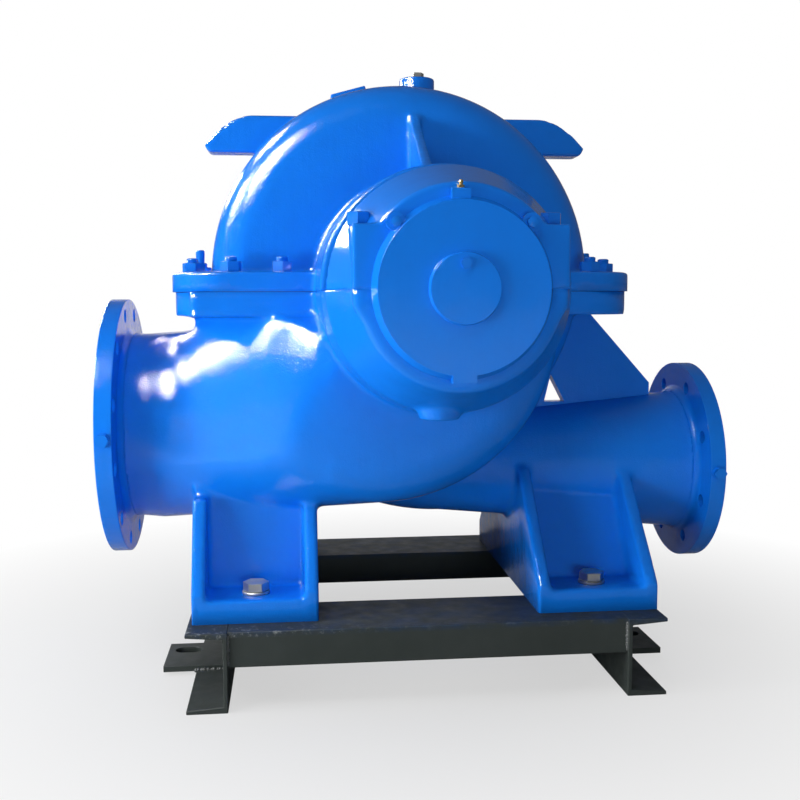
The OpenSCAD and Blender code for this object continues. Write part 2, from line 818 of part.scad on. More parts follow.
module left_cross_channel() { color(frame_grey) frame_side(-1) cross_channel(); }
module right_cross_channel() { color(frame_grey) frame_side(1) cross_channel(); }
module left_anchor_tab() { color(frame_grey) frame_side(-1) anchor_tab(); }
module right_anchor_tab() { color(frame_grey) frame_side(1) anchor_tab(); }

lower_casing();
suction_nozzle();
discharge_nozzle();
discharge_web();
suction_foot();
discharge_foot();
front_bearing_bracket();
rear_bearing_bracket();
upper_casing();
casing_gasket();
front_bearing_cap();
rear_bearing_cap();
front_bearing_cover();
rear_bearing_cover();
front_gland();
rear_gland();
front_shaft_sleeve();
rear_shaft_sleeve();
pump_shaft();
vent_plug();
front_grease_nipple();
rear_grease_nipple();
suction_gauge_plug();
discharge_gauge_plug();
front_cover_plug();
front_beam();
rear_beam();
left_cross_channel();
right_cross_channel();
left_anchor_tab();
right_anchor_tab();
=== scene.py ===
"""Looks of a horizontal split case pump: blue enamelled castings bolted together on a dark channel frame."""

import math

import bmesh
import bpy
from mathutils import Matrix, Vector


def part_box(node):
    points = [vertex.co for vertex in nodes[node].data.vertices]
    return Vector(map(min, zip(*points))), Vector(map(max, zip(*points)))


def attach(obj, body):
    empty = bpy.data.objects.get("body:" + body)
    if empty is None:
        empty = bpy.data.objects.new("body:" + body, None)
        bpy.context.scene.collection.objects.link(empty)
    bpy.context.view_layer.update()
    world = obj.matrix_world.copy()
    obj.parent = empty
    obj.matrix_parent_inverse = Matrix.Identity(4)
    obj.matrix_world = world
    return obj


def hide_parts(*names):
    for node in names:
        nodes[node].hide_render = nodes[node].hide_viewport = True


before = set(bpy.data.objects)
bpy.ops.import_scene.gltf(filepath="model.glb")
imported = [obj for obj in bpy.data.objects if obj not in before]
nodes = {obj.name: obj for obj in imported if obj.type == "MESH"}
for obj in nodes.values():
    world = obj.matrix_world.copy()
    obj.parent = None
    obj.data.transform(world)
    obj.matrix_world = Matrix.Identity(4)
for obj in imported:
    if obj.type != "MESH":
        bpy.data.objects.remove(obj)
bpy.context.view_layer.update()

MM = 0.001
UP = Vector((0, 0, 1))
LEFT = Vector((-1, 0, 0))
RIGHT = Vector((1, 0, 0))

# The pump's own centre: on the shaft, midway between the bearings
shaft_low, shaft_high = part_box("pump_shaft")
front_low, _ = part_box("front_bearing_bracket")
_, rear_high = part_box("rear_bearing_bracket")
CENTRE = Vector((
    (shaft_low[0] + shaft_high[0]) / 2,
    (front_low[1] + rear_high[1]) / 2,
    (shaft_low[2] + shaft_high[2]) / 2,
))
SPLIT = CENTRE.z

# Faces of the two pipe flanges, and the top and front of the base frame
SUCTION_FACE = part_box("suction_nozzle")[0][0]
DISCHARGE_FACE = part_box("discharge_nozzle")[1][0]
FRAME_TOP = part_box("front_beam")[1][2]
FRAME_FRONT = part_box("left_cross_channel")[0][1]


def at(x, y, z):
    """A point given in millimetres from the pump's centre."""
    return CENTRE + Vector((x, y, z)) * MM


# Turns that stand a lathe's axis along the shaft or the pipes, or upside down
TO_FRONT = Matrix.Rotation(math.radians(90), 4, "X")
TO_BACK = Matrix.Rotation(math.radians(-90), 4, "X")
TO_SUCTION = Matrix.Rotation(math.radians(-90), 4, "Y")
TO_DISCHARGE = Matrix.Rotation(math.radians(90), 4, "Y")
TO_FLOOR = Matrix.Rotation(math.pi, 4, "X")


# Shader nodes

def socket_in(group, name, kind, value):
    made = group.interface.new_socket(name=name, in_out="INPUT", socket_type=kind)
    made.default_value = value


def socket_out(group, name, kind):
    group.interface.new_socket(name=name, in_out="OUTPUT", socket_type=kind)


def object_coordinates(tree):
    return tree.nodes.new("ShaderNodeTexCoord").outputs["Object"]


def axes_of(tree, vector):
    """The three numbers of a vector, by the names X, Y and Z."""
    made = tree.nodes.new("ShaderNodeSeparateXYZ")
    tree.links.new(vector, made.inputs["Vector"])
    return made.outputs


def noise(tree, coordinates, scale, detail, roughness=0.5):
    made = tree.nodes.new("ShaderNodeTexNoise")
    made.inputs["Scale"].default_value = scale
    made.inputs["Detail"].default_value = detail
    made.inputs["Roughness"].default_value = roughness
    tree.links.new(coordinates, made.inputs["Vector"])
    return made.outputs["Fac"]


def ramp(tree, value, low, high, to_low=0.0, to_high=1.0):
    made = tree.nodes.new("ShaderNodeMapRange")
    made.inputs["From Min"].default_value = low
    made.inputs["From Max"].default_value = high
    made.inputs["To Min"].default_value = to_low
    made.inputs["To Max"].default_value = to_high
    tree.links.new(value, made.inputs["Value"])
    return made.outputs["Result"]


def math_node(tree, operation, first, second):
    made = tree.nodes.new("ShaderNodeMath")
    made.operation = operation
    for place, value in enumerate((first, second)):
        if isinstance(value, (int, float)):
            made.inputs[place].default_value = value
        else:
            tree.links.new(value, made.inputs[place])
    return made.outputs["Value"]


# Places of the colour sockets on a mix node
COLOUR_A, COLOUR_B, COLOUR_OUT = 6, 7, 2


def blend_colour(tree, amount, first, second):
    made = tree.nodes.new("ShaderNodeMix")
    made.data_type = "RGBA"
    tree.links.new(amount, made.inputs["Factor"])
    for place, value in ((COLOUR_A, first), (COLOUR_B, second)):
        if isinstance(value, tuple):
            made.inputs[place].default_value = value
        else:
            tree.links.new(value, made.inputs[place])
    return made.outputs[COLOUR_OUT]


def blend_surface(tree, amount, first, second, end):
    """Mixes two shaders and gives the result to the tree's end."""
    made = tree.nodes.new("ShaderNodeMixShader")
    tree.links.new(amount, made.inputs["Fac"])
    tree.links.new(first, made.inputs[1])
    tree.links.new(second, made.inputs[2])
    tree.links.new(made.outputs["Shader"], tree.nodes[end].inputs["Surface"])


def brushed_paint_group():
    """Paint on rough metal: drifts of shade, patches of gloss, waves, sags that run down, orange peel."""
    group = bpy.data.node_groups.new("brushed_paint", "ShaderNodeTree")
    socket_in(group, "Vector", "NodeSocketVector", (0, 0, 0))
    socket_in(group, "Paint", "NodeSocketColor", (0.5, 0.5, 0.5, 1))
    socket_in(group, "Thin Paint", "NodeSocketColor", (0.4, 0.4, 0.4, 1))
    socket_in(group, "Gloss Low", "NodeSocketFloat", 0.2)
    socket_in(group, "Gloss High", "NodeSocketFloat", 0.35)
    socket_in(group, "Casting Waves", "NodeSocketFloat", 1.0)
    socket_in(group, "Orange Peel", "NodeSocketFloat", 1.0)
    socket_out(group, "Colour", "NodeSocketColor")
    socket_out(group, "Roughness", "NodeSocketFloat")
    socket_out(group, "Height", "NodeSocketFloat")
    begin = group.nodes.new("NodeGroupInput").outputs
    end = group.nodes.new("NodeGroupOutput").inputs
    links = group.links
    vector = begin["Vector"]

    drift = noise(group, vector, 4.0, 4.0)
    patch = noise(group, vector, 38.0, 3.0)
    sag_map = group.nodes.new("ShaderNodeMapping")
    sag_map.inputs["Scale"].default_value = (60.0, 60.0, 7.0)
    links.new(vector, sag_map.inputs["Vector"])
    sag = noise(group, sag_map.outputs["Vector"], 1.0, 2.0)
    thin = math_node(group, "MULTIPLY", ramp(group, drift, 0.35, 0.7), 0.6)
    thin = math_node(group, "ADD", thin, ramp(group, patch, 0.45, 0.8, 0.0, 0.25))
    links.new(blend_colour(group, thin, begin["Paint"], begin["Thin Paint"]), end["Colour"])

    gloss = ramp(group, patch, 0.3, 0.75)
    links.new(begin["Gloss Low"], gloss.node.inputs["To Min"])
    links.new(begin["Gloss High"], gloss.node.inputs["To Max"])
    links.new(gloss, end["Roughness"])

    waves = noise(group, vector, 26.0, 2.0, 0.4)
    peel = noise(group, vector, 420.0, 2.0)
    low = math_node(group, "MULTIPLY", waves, begin["Casting Waves"])
    low = math_node(group, "ADD", low, math_node(group, "MULTIPLY", sag, 0.35))
    fine = math_node(group, "MULTIPLY", peel, begin["Orange Peel"])
    links.new(math_node(group, "ADD", low, fine), end["Height"])
    return group


def settled_dust_group():
    """Dust: a mask that gathers on faces that look up, broken by noise."""
    group = bpy.data.node_groups.new("settled_dust", "ShaderNodeTree")
    socket_in(group, "Vector", "NodeSocketVector", (0, 0, 0))
    socket_in(group, "Amount", "NodeSocketFloat", 0.5)
    socket_in(group, "Grain", "NodeSocketFloat", 30.0)
    socket_out(group, "Mask", "NodeSocketFloat")
    begin = group.nodes.new("NodeGroupInput").outputs
    end = group.nodes.new("NodeGroupOutput").inputs
    facing = group.nodes.new("ShaderNodeNewGeometry").outputs["Normal"]
    upward = ramp(group, axes_of(group, facing)["Z"], 0.2, 0.95)
    cloud = noise(group, begin["Vector"], 30.0, 6.0, 0.62)
    group.links.new(begin["Grain"], cloud.node.inputs["Scale"])
    mask = math_node(group, "MULTIPLY", upward, ramp(group, cloud, 0.45, 0.7))
    group.links.new(math_node(group, "MULTIPLY", mask, begin["Amount"]), end["Mask"])
    return group


PAINT = brushed_paint_group()
DUST = settled_dust_group()


# Materials

def new_material(name):
    made = bpy.data.materials.new(name)
    made.use_nodes = True
    return made, made.node_tree, made.node_tree.nodes["Principled BSDF"]


def place_group(tree, group, vector, **values):
    made = tree.nodes.new("ShaderNodeGroup")
    made.node_tree = group
    tree.links.new(vector, made.inputs["Vector"])
    for name, value in values.items():
        made.inputs[name.replace("_", " ")].default_value = value
    return made.outputs


def lay_on(tree, shader, colour, finish, depth):
    """Gives a shader its colour, and a finish's roughness and height."""
    tree.links.new(colour, shader.inputs["Base Color"])
    tree.links.new(finish["Roughness"], shader.inputs["Roughness"])
    relief = tree.nodes.new("ShaderNodeBump")
    relief.inputs["Strength"].default_value = 1.0
    relief.inputs["Distance"].default_value = depth
    tree.links.new(finish["Height"], relief.inputs["Height"])
    tree.links.new(relief.outputs["Normal"], shader.inputs["Normal"])


def painted(name, paint, thin_paint, gloss, waves, peel, shine, dust_amount, dust_colour, depth):
    """Paint on metal with a little dust on what faces up."""
    made, tree, shader = new_material(name)
    vector = object_coordinates(tree)
    finish = place_group(
        tree, PAINT, vector, Paint=paint, Thin_Paint=thin_paint, Gloss_Low=gloss[0], Gloss_High=gloss[1],
        Casting_Waves=waves, Orange_Peel=peel)
    dust = place_group(tree, DUST, vector, Amount=dust_amount, Grain=26.0)
    colour = blend_colour(tree, dust["Mask"], finish["Colour"], dust_colour)
    shader.inputs["Specular IOR Level"].default_value = shine
    lay_on(tree, shader, colour, finish, depth)
    return made


def bare_metal(name, colour, dull_colour, roughness, grain):
    """Metal with blotches of duller skin."""
    made, tree, shader = new_material(name)
    finish = place_group(
        tree, PAINT, object_coordinates(tree), Paint=colour, Thin_Paint=dull_colour,
        Gloss_Low=roughness[0], Gloss_High=roughness[1], Casting_Waves=0.2, Orange_Peel=grain)
    shader.inputs["Metallic"].default_value = 1.0
    lay_on(tree, shader, finish["Colour"], finish, 0.0004)
    return made


BLUE = (0.005, 0.190, 0.780, 1)
BLUE_DUST = (0.03, 0.22, 0.78, 1)
PRIMER = (0.030, 0.037, 0.034, 1)
THIN_PRIMER = (0.044, 0.052, 0.050, 1)
OVERSPRAY = (0.010, 0.040, 0.120, 1)
SCUFFED_STEEL = (0.34, 0.36, 0.36, 1)
FRAME_DUST = (0.075, 0.088, 0.096, 1)


def painted_frame():
    """Dark grey primer on rolled steel, with blue overspray on top and scuffs on the front edges."""
    made, tree, shader = new_material("frame_paint")
    vector = object_coordinates(tree)
    finish = place_group(
        tree, PAINT, vector, Paint=PRIMER, Thin_Paint=THIN_PRIMER, Gloss_Low=0.42, Gloss_High=0.62,
        Casting_Waves=0.4, Orange_Peel=0.25)
    place = axes_of(tree, vector)
    on_top = ramp(tree, place["Z"], FRAME_TOP - 0.010, FRAME_TOP - 0.002)
    cloud = noise(tree, vector, 30.0, 5.0, 0.6)
    sprayed = math_node(tree, "MULTIPLY", on_top, ramp(tree, cloud, 0.40, 0.75, 0.05, 0.6))
    colour = blend_colour(tree, sprayed, finish["Colour"], OVERSPRAY)
    front = ramp(tree, place["Y"], FRAME_FRONT + 0.050, FRAME_FRONT + 0.004)
    left = ramp(tree, place["X"], -0.12, -0.30, 0.12, 1.0)
    flecks = noise(tree, vector, 90.0, 7.0, 0.75)
    edge = math_node(tree, "MULTIPLY", math_node(tree, "MULTIPLY", on_top, front), left)
    scuffs = math_node(tree, "MULTIPLY", edge, ramp(tree, flecks, 0.54, 0.66))
    colour = blend_colour(tree, scuffs, colour, SCUFFED_STEEL)
    dust = place_group(tree, DUST, vector, Amount=0.12, Grain=40.0)
    colour = blend_colour(tree, dust["Mask"], colour, FRAME_DUST)
    shader.inputs["Specular IOR Level"].default_value = 0.12
    lay_on(tree, shader, colour, finish, 0.0008)
    return made


BLUE_ENAMEL = painted(
    "blue_enamel", paint=BLUE, thin_paint=(0.004, 0.165, 0.700, 1), gloss=(0.08, 0.13), waves=0.70,
    peel=0.28, shine=0.40, dust_amount=0.08, dust_colour=BLUE_DUST, depth=0.0015)
BLUE_SMOOTH = painted(
    "blue_smooth", paint=BLUE, thin_paint=(0.005, 0.170, 0.720, 1), gloss=(0.10, 0.16), waves=0.40,
    peel=0.06, shine=0.40, dust_amount=0.06, dust_colour=BLUE_DUST, depth=0.0012)
BLUE_ON_BOLTS = painted(
    "blue_on_bolts", paint=(0.005, 0.185, 0.76, 1), thin_paint=(0.005, 0.145, 0.62, 1), gloss=(0.14, 0.24),
    waves=0.5, peel=0.10, shine=0.40, dust_amount=0.08, dust_colour=BLUE_DUST, depth=0.0008)
GASKET_SHEET = painted(
    "gasket_sheet", paint=(0.004, 0.05, 0.24, 1), thin_paint=(0.01, 0.02, 0.05, 1), gloss=(0.5, 0.7),
    waves=0.4, peel=0.3, shine=0.2, dust_amount=0.0, dust_colour=(0.1, 0.1, 0.1, 1), depth=0.0006)
ZINC = bare_metal(
    "zinc_plate", colour=(0.66, 0.65, 0.60, 1), dull_colour=(0.42, 0.42, 0.40, 1), roughness=(0.28, 0.48),
    grain=0.2)
BRIGHT_STEEL = bare_metal(
    "bright_steel", colour=(0.62, 0.62, 0.60, 1), dull_colour=(0.5, 0.5, 0.48, 1), roughness=(0.2, 0.34),
    grain=0.12)
FRAME_PAINT = painted_frame()
BRASS = bare_metal(
    "brass", colour=(0.72, 0.55, 0.26, 1), dull_colour=(0.52, 0.38, 0.17, 1), roughness=(0.24, 0.4),
    grain=0.1)
WELD = painted(
    "weld_paint", paint=(0.034, 0.040, 0.038, 1), thin_paint=(0.16, 0.17, 0.17, 1), gloss=(0.40, 0.60),
    waves=0.4, peel=0.5, shine=0.2, dust_amount=0.2, dust_colour=FRAME_DUST, depth=0.0008)


# Making pieces

CAST_SHARP = 40
BOLT_SHARP = 32
MERGE_CAD = 0.00002
MERGE_LATHE = 0.000002


def mesh_of(shape, name):
    """Turns a shape that is being made into a mesh, and frees it."""
    mesh = bpy.data.meshes.new(name)
    shape.to_mesh(mesh)
    shape.free()
    return mesh


def finish_piece(name, shape, material, smooth_angle=None):
    """Makes a shape an object of the pump, at the origin, riding on the frame."""
    mesh = mesh_of(shape, name)
    mesh.materials.clear()
    mesh.materials.append(material)
    made = bpy.data.objects.new(name, mesh)
    bpy.context.collection.objects.link(made)
    mesh.shade_smooth()
    if smooth_angle is not None:
        mesh.set_sharp_from_angle(angle=math.radians(smooth_angle))
    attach(made, "root")
    return made


def cad_copy(*names):
    """The joined mesh of some CAD nodes, with its loose triangles merged."""
    made = bmesh.new()
    for name in names:
        made.from_mesh(nodes[name].data)
    bmesh.ops.remove_doubles(made, verts=made.verts, dist=MERGE_CAD)
    return made


def connected(seeds):
    """Some vertices and all others that edges join to them."""
    made = set(seeds)
    reach = list(made)
    while reach:
        vert = reach.pop()
        for edge in vert.link_edges:
            other = edge.other_vert(vert)
            if other not in made:
                made.add(other)
                reach.append(other)
    return made


def lathe(target, profile, place, steps=48):
    """Spins a half outline of (radius, height) points in millimetres about Z, then puts it in place."""
    verts = [target.verts.new((radius * MM, 0.0, height * MM)) for radius, height in profile]
    edges = [target.edges.new(pair) for pair in zip(verts, verts[1:])]
    turned = bmesh.ops.spin(
        target, geom=verts + edges, cent=(0, 0, 0), axis=(0, 0, 1), angle=math.tau, steps=steps,
        use_merge=True)
    last = [item for item in turned["geom_last"] if isinstance(item, bmesh.types.BMVert)]
    alive = [vert for vert in connected(verts + last) if vert.is_valid]
    bmesh.ops.remove_doubles(target, verts=alive, dist=MERGE_LATHE)
    alive = [vert for vert in alive if vert.is_valid]
    faces = list({face for vert in alive for face in vert.link_faces})
    bmesh.ops.recalc_face_normals(target, faces=faces)
    bmesh.ops.transform(target, matrix=place, verts=alive)


def standing(point, turn=None, spin=0.0):
    """A place on a point, with Z turned to a direction and spun about itself."""
    made = Matrix.Translation(point)
    if turn is not None:
        made = made @ turn
    return made @ Matrix.Rotation(math.radians(spin), 4, "Z")


def hexagon(target, place, flats, low, high, chamfer=1.6):
    """A hexagon with chamfered rims, from one height to another."""
    corner = flats / math.sqrt(3)
    lathe(target, [
        (0, low), (corner - chamfer, low), (corner, low + chamfer * 0.5), (corner, high - chamfer * 0.5),
        (corner - chamfer, high), (0, high)], place, steps=6)


THREAD_PITCH, THREAD_DEPTH = 2.2, 0.9


def nut_on_stud(target, place, thread, flats, height, proud):
    """A nut with a stud's rounded end standing out of it."""
    hexagon(target, place, flats, 0.0, height)
    radius = thread / 2
    profile = [(0, height - 2)]
    rings = max(2, int(proud / THREAD_PITCH))
    for ring in range(rings):
        level = height + proud * 0.8 * ring / rings
        step = proud * 0.8 / rings
        profile += [(radius - THREAD_DEPTH, level), (radius, level + step * 0.5)]
    profile += [(radius - 0.8, height + proud * 0.85), (radius * 0.7, height + proud), (0, height + proud)]
    lathe(target, profile, place, steps=20)


WASHER_EDGE, HEAD_COLLAR = 0.6, 0.8


def bolt_head(target, place, flats, height, washer=None):
    """A bolt's head, on its washer where it has one."""
    base = 0.0
    if washer:
        radius, base = washer
        lathe(target, [
            (0, 0), (radius - WASHER_EDGE, 0), (radius, WASHER_EDGE), (radius, base - WASHER_EDGE),
            (radius - WASHER_EDGE, base), (0, base)], place, steps=40)
    collar_r = flats * 0.47
    collar_top = base + HEAD_COLLAR
    lathe(target, [(0, base), (collar_r, base), (collar_r, collar_top), (0, collar_top)], place, steps=32)
    hexagon(target, place, flats, collar_top, base + height, chamfer=flats / math.sqrt(3) * 0.09)


# Castings: a smooth skin drawn over the CAD solids, so that every corner is rounded as a mould leaves it

SPARE = 24 * MM
LEVEL_SLACK = 0.4 * MM


def evaluated(shape, kind, **values):
    """The shape that one modifier makes of another."""
    mesh = mesh_of(shape, "rough")
    rough = bpy.data.objects.new("rough", mesh)
    bpy.context.collection.objects.link(rough)
    step = rough.modifiers.new(kind.lower(), kind)
    for name, value in values.items():
        setattr(step, name, value)
    graph = bpy.context.evaluated_depsgraph_get()
    made = bmesh.new()
    made.from_mesh(rough.evaluated_get(graph).to_mesh())
    bpy.data.objects.remove(rough)
    bpy.data.meshes.remove(mesh)
    return made


def skin_over(solids, voxel):
    """Wraps solids in one even mesh."""
    return evaluated(solids, "REMESH", mode="VOXEL", voxel_size=voxel, adaptivity=0.0)


def thinned(skin, triangles):
    """Thins a skin of four-sided faces to about so many triangles."""
    return evaluated(skin, "DECIMATE", ratio=min(1.0, triangles / len(skin.faces) / 2))


def soften(target, verts, rounds):
    """Rounds off corners: each vertex moves halfway to the middle of its neighbours, some times over."""
    for _ in range(rounds):
        bmesh.ops.smooth_vert(
            target, verts=verts, factor=0.5, use_axis_x=True, use_axis_y=True, use_axis_z=True)


def verts_within(target, low, high):
    """The vertices between two corners given in millimetres from the pump's centre."""
    low, high = at(*low), at(*high)
    return [
        vert for vert in target.verts
        if all(bottom < value < top for bottom, value, top in zip(low, vert.co, high))]


def largest_shell(target):
    """Drops every loose shell but the largest."""
    left = set(target.verts)
    shells = []
    while left:
        shell = connected([left.pop()])
        left -= shell
        shells.append(shell)
    shells.sort(key=len)
    stray = [vert for shell in shells[:-1] for vert in shell]
    bmesh.ops.delete(target, geom=stray, context="VERTS")


def draw_out(solids, level, by):
    """Moves the flat faces at a level up or down, so that a cut at that level leaves a crisp edge."""
    for vert in solids.verts:
        if abs(vert.co.z - level) < LEVEL_SLACK:
            vert.co.z += by


def cut_off(target, point, normal):
    """Cuts away what lies beyond a plane, and closes the cut."""
    geom = target.verts[:] + target.edges[:] + target.faces[:]
    done = bmesh.ops.bisect_plane(
        target, geom=geom, dist=0.000001, plane_co=point, plane_no=normal, clear_outer=True)
    rim = [item for item in done["geom_cut"] if isinstance(item, bmesh.types.BMEdge)]
    rim = [edge for edge in rim if edge.is_valid and edge.is_boundary]
    bmesh.ops.triangle_fill(target, use_beauty=True, edges=rim, normal=normal)


# Suction chambers: the same rounded drum and nozzle as the casing has, drawn with finer steps
CHAMBER_X, CHAMBER_Z = -91.0, -44.0
CHAMBER_R, CHAMBER_HALF, CHAMBER_ROUND, CHAMBER_SWELL = 297.0, 285.0, 70.0, 16.0
CHAMBER_FULL = CHAMBER_HALF + CHAMBER_SWELL
CHAMBER_TOP = 25.0
NOZZLE_X, NOZZLE_Z, NOZZLE_R = -455.0, -232.0, 165.0
SHOULDER_DROP, SHOULDER_IN, LOWER_FLANGE_T = 165.0, 92.0, 38.0
ROUND_STEPS = 10
RIM_STEPS = 160
HULL_VOXEL = 0.008


def ring_of_points(target, radius, place):
    made = bmesh.ops.create_circle(target, segments=RIM_STEPS, radius=radius * MM, cap_ends=False)
    bmesh.ops.transform(target, matrix=place, verts=made["verts"])


def shoulder(z):
    """Half width that the shoulders under the split flange leave at a height below the split."""
    rise = max(0.0, min(1.0, (z + SHOULDER_DROP) / (SHOULDER_DROP - LOWER_FLANGE_T)))
    return CHAMBER_FULL - SHOULDER_IN + SHOULDER_IN * math.sqrt(1 - rise * rise)


def suction_chambers():
    """One convex hull round drum and nozzle, its shoulders drawn in and its nozzle kept low."""
    hull = bmesh.new()
    flat = CHAMBER_HALF - CHAMBER_ROUND
    for side in (-1, 1):
        hull.verts.new(at(CHAMBER_X, side * CHAMBER_FULL, CHAMBER_Z))
        for step in range(ROUND_STEPS + 1):
            angle = math.radians(90) * step / ROUND_STEPS
            radius = CHAMBER_R - CHAMBER_ROUND * (1 - math.cos(angle))
            depth = side * (flat + CHAMBER_ROUND * math.sin(angle))
            ring_of_points(hull, radius, standing(at(CHAMBER_X, depth, CHAMBER_Z), TO_FRONT))
    ring_of_points(hull, NOZZLE_R, standing(at(NOZZLE_X, 0, NOZZLE_Z), TO_SUCTION))
    wrapped = bmesh.ops.convex_hull(hull, input=hull.verts, use_existing_faces=False)
    inner = [item for item in wrapped["geom_interior"] if isinstance(item, bmesh.types.BMVert)]
    bmesh.ops.delete(hull, geom=inner, context="VERTS")
    bmesh.ops.recalc_face_normals(hull, faces=hull.faces)
    cut_off(hull, at(0, 0, CHAMBER_TOP), UP)

    body = skin_over(hull, HULL_VOXEL)
    corner_x = at(CHAMBER_X - CHAMBER_R, 0, 0).x
    nozzle_top = at(0, 0, NOZZLE_Z + NOZZLE_R).z
    for vert in body.verts:
        half = shoulder((vert.co.z - SPLIT) / MM) * MM
        vert.co.y = CENTRE.y + max(-half, min(half, vert.co.y - CENTRE.y))
        if vert.co.x < corner_x:
            vert.co.z = min(vert.co.z, nozzle_top)
    return body


# Suction bore: from its mouth, with some overrun, to its blind end
BORE_R, BORE_MOUTH_X, BORE_END_X, BORE_OVERRUN = 150.0, -540.0, -363.0, 60.0


def bored(solids):
    """Cuts the suction bore into a casting."""
    drill = bmesh.new()
    depth = BORE_END_X - BORE_MOUTH_X
    lathe(drill, [(0, -BORE_OVERRUN), (BORE_R, -BORE_OVERRUN), (BORE_R, depth), (0, depth)],
          standing(at(BORE_MOUTH_X, 0, NOZZLE_Z), TO_DISCHARGE), steps=128)
    drill_mesh = mesh_of(drill, "suction_bore")
    bore = bpy.data.objects.new("suction_bore", drill_mesh)
    bpy.context.collection.objects.link(bore)
    made = evaluated(solids, "BOOLEAN", operation="DIFFERENCE", object=bore, solver="EXACT")
    bpy.data.objects.remove(bore)
    bpy.data.meshes.remove(drill_mesh)
    return made


# Elbow between suction nozzle and chamber: it widens by a steady flare and is crowned like a pipe
ELBOW_FLARE, ELBOW_SOFT, ELBOW_EASE = 0.70, 30.0, 56.0
ELBOW_CROWN, ELBOW_NECK = 380.0, 0.45
ELBOW_LOW, ELBOW_SPREAD = -252.0, 1.2
ELBOW_END, ELBOW_OUT = -290.0, 0.17
ELBOW_REGION = ((-452, -320, -300), (-175, 320, -28))
FLANGE_HALF, FLANGE_MARGIN = 216.0, 2.0


def elbow_half(x, z):
    """Half width of the elbow at a place along the pipes and a height, from the pump's centre."""
    run = max(0.0, x - NOZZLE_X)
    flared = NOZZLE_R + ELBOW_FLARE * (math.hypot(run, ELBOW_SOFT) - ELBOW_SOFT)
    eased = (CHAMBER_FULL + flared - math.hypot(CHAMBER_FULL - flared, ELBOW_EASE)) / 2
    plan = max(NOZZLE_R, eased)
    crown = NOZZLE_R + (ELBOW_CROWN - NOZZLE_R) * (plan - NOZZLE_R) / (CHAMBER_FULL - NOZZLE_R)
    rise = max(0.0, min(1.0, (z - NOZZLE_Z) / crown))
    run_out = max(0.0, ELBOW_LOW - z) * ELBOW_SPREAD + max(0.0, x - ELBOW_END) * ELBOW_OUT
    return plan * max(ELBOW_NECK, math.sqrt(1 - rise * rise)) + run_out


def draw_in_elbow(body):
    """Rounds the way from suction nozzle to chamber, which leaves the split flange standing out."""
    for vert in verts_within(body, *ELBOW_REGION):
        x, y, z = (vert.co - CENTRE) / MM
        half = elbow_half(x, z)
        if z > -LOWER_FLANGE_T - FLANGE_MARGIN:
            half = FLANGE_HALF
        vert.co.y = CENTRE.y + max(-half, min(half, y)) * MM


LOWER_NODES = (
    "lower_casing", "suction_nozzle", "discharge_nozzle", "suction_foot", "discharge_foot",
    "front_bearing_bracket", "rear_bearing_bracket")
CASING_VOXEL, CAP_VOXEL = 0.0040, 0.0024
LOWER_KEEP, UPPER_KEEP, CAP_KEEP = 185000, 120000, 40000
CAST_ROUNDS = 3
SWEEP_ROUNDS = 90
SWEEP_REGION = ((-505, -400, -300), (-170, 400, -60))
ABOVE_FEET = ((-600, -700, -330), (600, 700, 30))

# How far from its face the casting ends behind a pipe flange, and how far each crisp flange reaches
CAST_END = 38 * MM
SUCTION_FLANGE_END, DISCHARGE_FLANGE_END = 44 * MM, 39 * MM


def lower_casting():
    """Lower casing with nozzles, feet and bearing brackets: one casting, flat at split and seat."""
    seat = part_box("suction_foot")[0][2]
    solids = cad_copy(*LOWER_NODES)
    draw_out(solids, SPLIT, SPARE)
    draw_out(solids, seat, -SPARE)
    chambers = mesh_of(bored(suction_chambers()), "suction_chambers")
    solids.from_mesh(chambers)
    bpy.data.meshes.remove(chambers)
    body = skin_over(solids, CASING_VOXEL)
    largest_shell(body)
    draw_in_elbow(body)
    body = skin_over(body, CASING_VOXEL)
    largest_shell(body)
    soften(body, verts_within(body, *SWEEP_REGION), SWEEP_ROUNDS)
    soften(body, body.verts, 1)
    soften(body, verts_within(body, *ABOVE_FEET), CAST_ROUNDS)
    cut_off(body, Vector((0, 0, SPLIT)), UP)
    cut_off(body, Vector((0, 0, seat)), -UP)
    cut_off(body, Vector((SUCTION_FACE + CAST_END, 0, 0)), LEFT)
    cut_off(body, Vector((DISCHARGE_FACE - CAST_END, 0, 0)), RIGHT)
    made = finish_piece("lower_casting", thinned(body, LOWER_KEEP), BLUE_ENAMEL)
    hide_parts(*LOWER_NODES)


def seated_casting(name, node, material, voxel, keep):
    """A casting over one CAD node that stands flat on the split, thinned to about so many triangles."""
    solids = cad_copy(node)
    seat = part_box(node)[0][2]
    draw_out(solids, seat, -SPARE)
    body = skin_over(solids, voxel)
    largest_shell(body)
    soften(body, body.verts, CAST_ROUNDS)
    cut_off(body, Vector((0, 0, seat)), -UP)
    made = finish_piece(name, thinned(body, keep), material)
    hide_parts(node)


def upper_castings():
    """Upper casing with its horns, rib and bosses, and the two bearing caps with their lugs."""
    seated_casting("upper_casting", "upper_casing", BLUE_ENAMEL, CASING_VOXEL, UPPER_KEEP)
    for end in ("front", "rear"):
        seated_casting(end + "_bearing_cap_cast", end + "_bearing_cap", BLUE_SMOOTH, CAP_VOXEL, CAP_KEEP)


